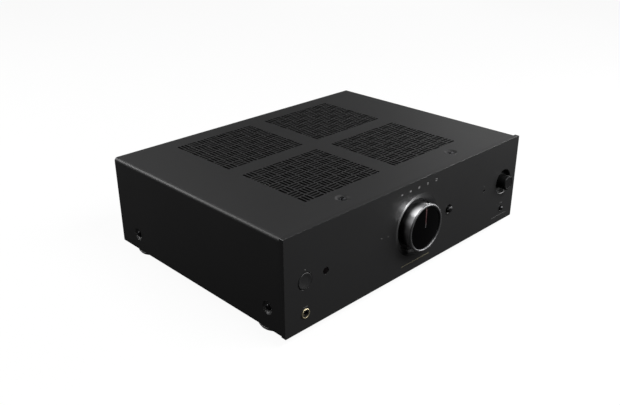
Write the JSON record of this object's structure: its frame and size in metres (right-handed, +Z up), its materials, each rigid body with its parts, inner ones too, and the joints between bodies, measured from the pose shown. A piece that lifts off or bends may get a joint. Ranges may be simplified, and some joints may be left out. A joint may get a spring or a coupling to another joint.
{
  "type": "stereo receiver",
  "caption": "Low full-width hi-fi receiver with thick front plate, large central volume knob in a dished recess, vented wrap-around cover and round feet.",
  "frame": {"origin": "middle of the footprint (bounding box) on the floor plane under the feet", "axes": "+X to the right seen from the front, along the width; +Y from the front plate to the rear sockets; +Z up"},
  "size_m": [0.43, 0.348, 0.13],
  "materials": {
    "front_plate": "fine bead-blasted black anodising, satin",
    "cover_paint": "matte black powder coat on folded steel sheet",
    "black_steel": "flat black paint",
    "zinc_steel": "zinc-plated sheet steel",
    "black_screw": "black oxide",
    "knob_metal": "turned and black anodised, polished rim",
    "gloss_face": "piano black",
    "pointer_red": "filled engraved line, dull red",
    "shaft_metal": "machined",
    "button_metal": "turned and black anodised",
    "moulded_black": "moulded, fine texture",
    "foot_rubber": "soft moulded black",
    "bright_ring": "polished",
    "gold": "gold plated",
    "smoked_lens": "infrared-passing dark lens",
    "clear_pipe": "frosted light pipe",
    "circuit_board": "green solder mask on glass fibre",
    "transformer_wrap": "polyester tape over copper winding",
    "capacitor_sleeve": "heat-shrunk sleeve",
    "heatsink_black": "black anodised extrusion",
    "post_red": "translucent red",
    "post_black": "translucent black",
    "cable_sleeve": "braided sleeve",
    "ribbon_grey": "flat cable"
  },
  "bodies": {
    "chassis": {"front_panel": "front_plate", "front_subpanel": "black_steel", "top_cover": "cover_paint", "chassis_tray": "zinc_steel", "rear_panel": "black_steel", "cover_screw_top_left": "black_screw", "cover_screw_top_right": "black_screw", "cover_screw_side_left_front": "black_screw", "cover_screw_side_left_rear": "black_screw", "cover_screw_side_right_front": "black_screw", "cover_screw_side_right_rear": "black_screw", "foot_front_left": "foot_rubber", "foot_front_right": "foot_rubber", "foot_rear_left": "foot_rubber", "foot_rear_right": "foot_rubber", "foot_ring_front_left": "bright_ring", "foot_ring_front_right": "bright_ring", "foot_ring_rear_left": "bright_ring", "foot_ring_rear_right": "bright_ring", "volume_potentiometer": "shaft_metal", "volume_nut": "shaft_metal", "selector_encoder": "shaft_metal", "selector_nut": "shaft_metal", "power_switch": "moulded_black", "headphone_jack": "moulded_black", "headphone_jack_nut": "gold", "ir_window": "smoked_lens", "status_light_pipe": "clear_pipe", "control_board": "circuit_board", "toroidal_transformer": "transformer_wrap", "transformer_clamp": "zinc_steel", "filter_capacitor_left": "capacitor_sleeve", "filter_capacitor_right": "capacitor_sleeve", "amplifier_board": "circuit_board", "heatsink_left": "heatsink_black", "heatsink_right": "heatsink_black", "output_device_left": "moulded_black", "output_device_right": "moulded_black", "iec_inlet": "moulded_black", "mains_switch_housing": "moulded_black", "speaker_terminal_block": "gold", "rca_socket_block": "gold", "digital_socket_block": "moulded_black", "antenna_connector": "zinc_steel", "mains_wiring": "cable_sleeve", "ribbon_cable": "ribbon_grey"},
    "volume_control": {"volume_knob": "knob_metal", "volume_knob_face": "gloss_face", "volume_pointer": "pointer_red", "volume_shaft": "shaft_metal"},
    "selector_control": {"selector_knob": "knob_metal", "selector_shaft": "shaft_metal"},
    "power_button": {"power_button": "button_metal"},
    "mute_button": {"mute_button": "button_metal"},
    "pairing_button": {"pairing_button": "button_metal"},
    "mains_rocker": {"mains_rocker": "moulded_black"},
    "post_cap_right_plus": {"binding_post_cap_right_plus": "post_red"},
    "post_cap_right_minus": {"binding_post_cap_right_minus": "post_black"},
    "post_cap_left_plus": {"binding_post_cap_left_plus": "post_red"},
    "post_cap_left_minus": {"binding_post_cap_left_minus": "post_black"}
  },
  "joints": [
    {"name": "volume_turn", "type": "hinge", "parent": "chassis", "child": "volume_control", "pos_m": [0, -0.165, 0.0714], "axis": [0, 1, 0], "range_deg": [-150, 150]},
    {"name": "selector_turn", "type": "hinge", "parent": "chassis", "child": "selector_control", "pos_m": [0.1862, -0.163, 0.0714], "axis": [0, 1, 0], "continuous": true},
    {"name": "power_press", "type": "slide", "parent": "chassis", "child": "power_button", "axis": [0, 1, 0], "range_m": [0, 0.0025]},
    {"name": "mute_press", "type": "slide", "parent": "chassis", "child": "mute_button", "axis": [0, 1, 0], "range_m": [0, 0.001]},
    {"name": "pairing_press", "type": "slide", "parent": "chassis", "child": "pairing_button", "axis": [0, 1, 0], "range_m": [0, 0.0008]},
    {"name": "mains_rocker_tilt", "type": "hinge", "parent": "chassis", "child": "mains_rocker", "pos_m": [-0.172, 0.151, 0.092], "axis": [1, 0, 0], "range_deg": [-14, 0]},
    {"name": "post_cap_right_plus_unscrew", "type": "slide", "parent": "chassis", "child": "post_cap_right_plus", "axis": [0, 1, 0], "range_m": [0, 0.006]},
    {"name": "post_cap_right_minus_unscrew", "type": "slide", "parent": "chassis", "child": "post_cap_right_minus", "axis": [0, 1, 0], "range_m": [0, 0.006]},
    {"name": "post_cap_left_plus_unscrew", "type": "slide", "parent": "chassis", "child": "post_cap_left_plus", "axis": [0, 1, 0], "range_m": [0, 0.006]},
    {"name": "post_cap_left_minus_unscrew", "type": "slide", "parent": "chassis", "child": "post_cap_left_minus", "axis": [0, 1, 0], "range_m": [0, 0.006]}
  ]
}
